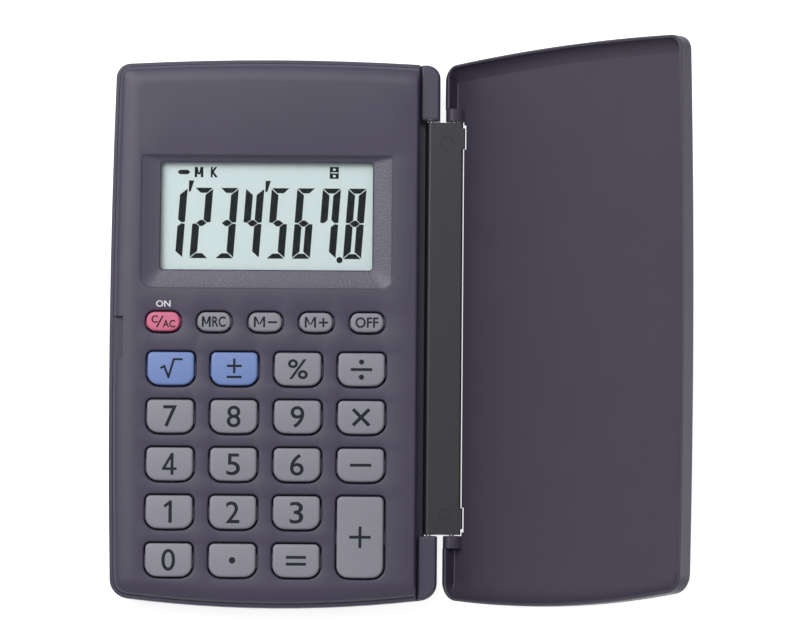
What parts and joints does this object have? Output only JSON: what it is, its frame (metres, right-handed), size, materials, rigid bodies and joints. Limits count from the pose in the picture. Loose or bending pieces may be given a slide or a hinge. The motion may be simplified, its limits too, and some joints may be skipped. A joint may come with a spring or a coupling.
{
  "type": "folding pocket calculator",
  "caption": "Pocket calculator with rounded keys, a sloped display bezel and a hard lid on a double-pivot hinge that folds over the keys or right round under the case.",
  "frame": {"origin": "middle of the flat rear face of the case, leaving the hinge aside", "axes": "+X towards the hinge and the open lid, +Y towards the display end, +Z out of the key face"},
  "size_m": [0.1327, 0.127, 0.0565],
  "materials": {
    "case_shell": "dark violet-grey plastic with a fine satin grain",
    "lid_shell": "dark violet-grey plastic with a fine satin grain",
    "spine_shell": "dark grey plastic, slightly smoother than the case",
    "key_grey": "light violet-grey satin plastic",
    "key_pink": "pink satin plastic",
    "key_blue": "light blue satin plastic",
    "clear_lens": "clear moulded lens",
    "display_glass": "two thin glass plates",
    "display_reflector": "pale grey-green sheet",
    "inner_plastic": "unpainted light plastic",
    "strip_rubber": "layered conductive rubber",
    "board_laminate": "brown laminate",
    "chip_resin": "black resin",
    "sheet_rubber": "grey moulded rubber",
    "cell_steel": "nickel-plated steel",
    "contact_metal": "plated spring metal",
    "screw_steel": "zinc-plated steel",
    "pin_steel": "plain steel"
  },
  "bodies": {
    "base": {"rear_case": "case_shell", "front_case": "case_shell", "display_lens": "clear_lens", "display_panel": "display_glass", "display_reflector": "display_reflector", "display_frame": "inner_plastic", "contact_strip": "strip_rubber", "circuit_board": "board_laminate", "chip_cover": "chip_resin", "key_sheet": "sheet_rubber", "button_cell": "cell_steel", "top_contact": "contact_metal", "bottom_contact": "contact_metal", "case_screws": "screw_steel", "board_screws": "screw_steel", "case_hinge_pins": "pin_steel"},
    "spine": {"hinge_spine": "spine_shell"},
    "lid": {"lid": "lid_shell", "lid_hinge_pins": "pin_steel"},
    "key_clear": {"key_clear": "key_pink"},
    "key_recall": {"key_recall": "key_grey"},
    "key_memory_minus": {"key_memory_minus": "key_grey"},
    "key_memory_plus": {"key_memory_plus": "key_grey"},
    "key_off": {"key_off": "key_grey"},
    "key_root": {"key_root": "key_blue"},
    "key_sign": {"key_sign": "key_blue"},
    "key_percent": {"key_percent": "key_grey"},
    "key_divide": {"key_divide": "key_grey"},
    "key_7": {"key_7": "key_grey"},
    "key_8": {"key_8": "key_grey"},
    "key_9": {"key_9": "key_grey"},
    "key_times": {"key_times": "key_grey"},
    "key_4": {"key_4": "key_grey"},
    "key_5": {"key_5": "key_grey"},
    "key_6": {"key_6": "key_grey"},
    "key_minus": {"key_minus": "key_grey"},
    "key_1": {"key_1": "key_grey"},
    "key_2": {"key_2": "key_grey"},
    "key_3": {"key_3": "key_grey"},
    "key_plus": {"key_plus": "key_grey"},
    "key_0": {"key_0": "key_grey"},
    "key_point": {"key_point": "key_grey"},
    "key_equals": {"key_equals": "key_grey"}
  },
  "joints": [
    {"name": "spine_hinge", "type": "hinge", "parent": "base", "child": "spine", "pos_m": [0.03595, 0, 0.00295], "axis": [0, -1, 0], "range_deg": [-90, 90]},
    {"name": "lid_hinge", "type": "hinge", "parent": "spine", "child": "lid", "pos_m": [0.0413, 0, 0.00295], "axis": [0, -1, 0], "range_deg": [-135, 45]},
    {"name": "key_clear_press", "type": "slide", "parent": "base", "child": "key_clear", "axis": [0, 0, -1], "range_m": [0, 0.0008], "stiffness_N_per_m": 400, "springref_m": -0.0006, "deforming": ["key_sheet"]},
    {"name": "key_recall_press", "type": "slide", "parent": "base", "child": "key_recall", "axis": [0, 0, -1], "range_m": [0, 0.0008], "stiffness_N_per_m": 400, "springref_m": -0.0006, "deforming": ["key_sheet"]},
    {"name": "key_memory_minus_press", "type": "slide", "parent": "base", "child": "key_memory_minus", "axis": [0, 0, -1], "range_m": [0, 0.0008], "stiffness_N_per_m": 400, "springref_m": -0.0006, "deforming": ["key_sheet"]},
    {"name": "key_memory_plus_press", "type": "slide", "parent": "base", "child": "key_memory_plus", "axis": [0, 0, -1], "range_m": [0, 0.0008], "stiffness_N_per_m": 400, "springref_m": -0.0006, "deforming": ["key_sheet"]},
    {"name": "key_off_press", "type": "slide", "parent": "base", "child": "key_off", "axis": [0, 0, -1], "range_m": [0, 0.0008], "stiffness_N_per_m": 400, "springref_m": -0.0006, "deforming": ["key_sheet"]},
    {"name": "key_root_press", "type": "slide", "parent": "base", "child": "key_root", "axis": [0, 0, -1], "range_m": [0, 0.0008], "stiffness_N_per_m": 400, "springref_m": -0.0006, "deforming": ["key_sheet"]},
    {"name": "key_sign_press", "type": "slide", "parent": "base", "child": "key_sign", "axis": [0, 0, -1], "range_m": [0, 0.0008], "stiffness_N_per_m": 400, "springref_m": -0.0006, "deforming": ["key_sheet"]},
    {"name": "key_percent_press", "type": "slide", "parent": "base", "child": "key_percent", "axis": [0, 0, -1], "range_m": [0, 0.0008], "stiffness_N_per_m": 400, "springref_m": -0.0006, "deforming": ["key_sheet"]},
    {"name": "key_divide_press", "type": "slide", "parent": "base", "child": "key_divide", "axis": [0, 0, -1], "range_m": [0, 0.0008], "stiffness_N_per_m": 400, "springref_m": -0.0006, "deforming": ["key_sheet"]},
    {"name": "key_7_press", "type": "slide", "parent": "base", "child": "key_7", "axis": [0, 0, -1], "range_m": [0, 0.0008], "stiffness_N_per_m": 400, "springref_m": -0.0006, "deforming": ["key_sheet"]},
    {"name": "key_8_press", "type": "slide", "parent": "base", "child": "key_8", "axis": [0, 0, -1], "range_m": [0, 0.0008], "stiffness_N_per_m": 400, "springref_m": -0.0006, "deforming": ["key_sheet"]},
    {"name": "key_9_press", "type": "slide", "parent": "base", "child": "key_9", "axis": [0, 0, -1], "range_m": [0, 0.0008], "stiffness_N_per_m": 400, "springref_m": -0.0006, "deforming": ["key_sheet"]},
    {"name": "key_times_press", "type": "slide", "parent": "base", "child": "key_times", "axis": [0, 0, -1], "range_m": [0, 0.0008], "stiffness_N_per_m": 400, "springref_m": -0.0006, "deforming": ["key_sheet"]},
    {"name": "key_4_press", "type": "slide", "parent": "base", "child": "key_4", "axis": [0, 0, -1], "range_m": [0, 0.0008], "stiffness_N_per_m": 400, "springref_m": -0.0006, "deforming": ["key_sheet"]},
    {"name": "key_5_press", "type": "slide", "parent": "base", "child": "key_5", "axis": [0, 0, -1], "range_m": [0, 0.0008], "stiffness_N_per_m": 400, "springref_m": -0.0006, "deforming": ["key_sheet"]},
    {"name": "key_6_press", "type": "slide", "parent": "base", "child": "key_6", "axis": [0, 0, -1], "range_m": [0, 0.0008], "stiffness_N_per_m": 400, "springref_m": -0.0006, "deforming": ["key_sheet"]},
    {"name": "key_minus_press", "type": "slide", "parent": "base", "child": "key_minus", "axis": [0, 0, -1], "range_m": [0, 0.0008], "stiffness_N_per_m": 400, "springref_m": -0.0006, "deforming": ["key_sheet"]},
    {"name": "key_1_press", "type": "slide", "parent": "base", "child": "key_1", "axis": [0, 0, -1], "range_m": [0, 0.0008], "stiffness_N_per_m": 400, "springref_m": -0.0006, "deforming": ["key_sheet"]},
    {"name": "key_2_press", "type": "slide", "parent": "base", "child": "key_2", "axis": [0, 0, -1], "range_m": [0, 0.0008], "stiffness_N_per_m": 400, "springref_m": -0.0006, "deforming": ["key_sheet"]},
    {"name": "key_3_press", "type": "slide", "parent": "base", "child": "key_3", "axis": [0, 0, -1], "range_m": [0, 0.0008], "stiffness_N_per_m": 400, "springref_m": -0.0006, "deforming": ["key_sheet"]},
    {"name": "key_plus_press", "type": "slide", "parent": "base", "child": "key_plus", "axis": [0, 0, -1], "range_m": [0, 0.0008], "stiffness_N_per_m": 400, "springref_m": -0.0006, "deforming": ["key_sheet"]},
    {"name": "key_0_press", "type": "slide", "parent": "base", "child": "key_0", "axis": [0, 0, -1], "range_m": [0, 0.0008], "stiffness_N_per_m": 400, "springref_m": -0.0006, "deforming": ["key_sheet"]},
    {"name": "key_point_press", "type": "slide", "parent": "base", "child": "key_point", "axis": [0, 0, -1], "range_m": [0, 0.0008], "stiffness_N_per_m": 400, "springref_m": -0.0006, "deforming": ["key_sheet"]},
    {"name": "key_equals_press", "type": "slide", "parent": "base", "child": "key_equals", "axis": [0, 0, -1], "range_m": [0, 0.0008], "stiffness_N_per_m": 400, "springref_m": -0.0006, "deforming": ["key_sheet"]}
  ]
}
